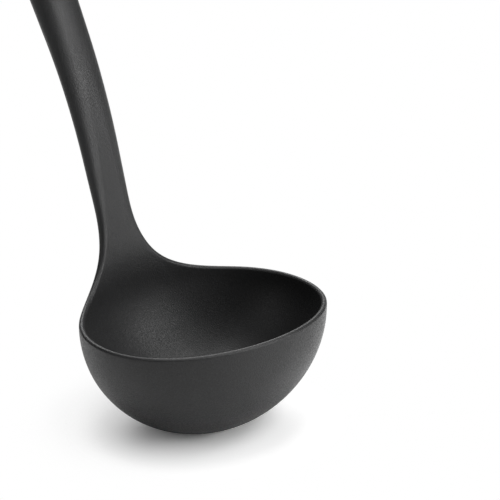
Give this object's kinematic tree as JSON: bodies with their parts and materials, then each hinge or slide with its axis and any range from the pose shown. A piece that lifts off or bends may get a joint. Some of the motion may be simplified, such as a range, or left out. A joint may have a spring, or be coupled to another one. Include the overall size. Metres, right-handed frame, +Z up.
{
  "type": "soup ladle",
  "caption": "Soup ladle: a deep oval bowl flares up into a rounded, back-leaning shank with a collar, a pinned soft-sleeved grip and an end cap with a hanging slot.",
  "frame": {"origin": "middle of the flat foot under the bowl", "axes": "+Z up as the ladle stands on its foot in the picture, +X out over the nose of the bowl, away from the handle; the ladle is mirror-symmetric about the plane Y = 0"},
  "size_m": [0.1814, 0.0924, 0.2871],
  "materials": {
    "nylon": "matte, finely spark-eroded",
    "satin_plastic": "satin",
    "soft_rubber": "matte, soft touch",
    "pin_steel": "ground"
  },
  "bodies": {
    "root": {"bowl_and_shank": "nylon", "shank_collar": "satin_plastic", "grip_core": "nylon", "grip_sleeve": "soft_rubber", "hanging_end_cap": "satin_plastic", "tang_pin": "pin_steel"}
  },
  "joints": []
}
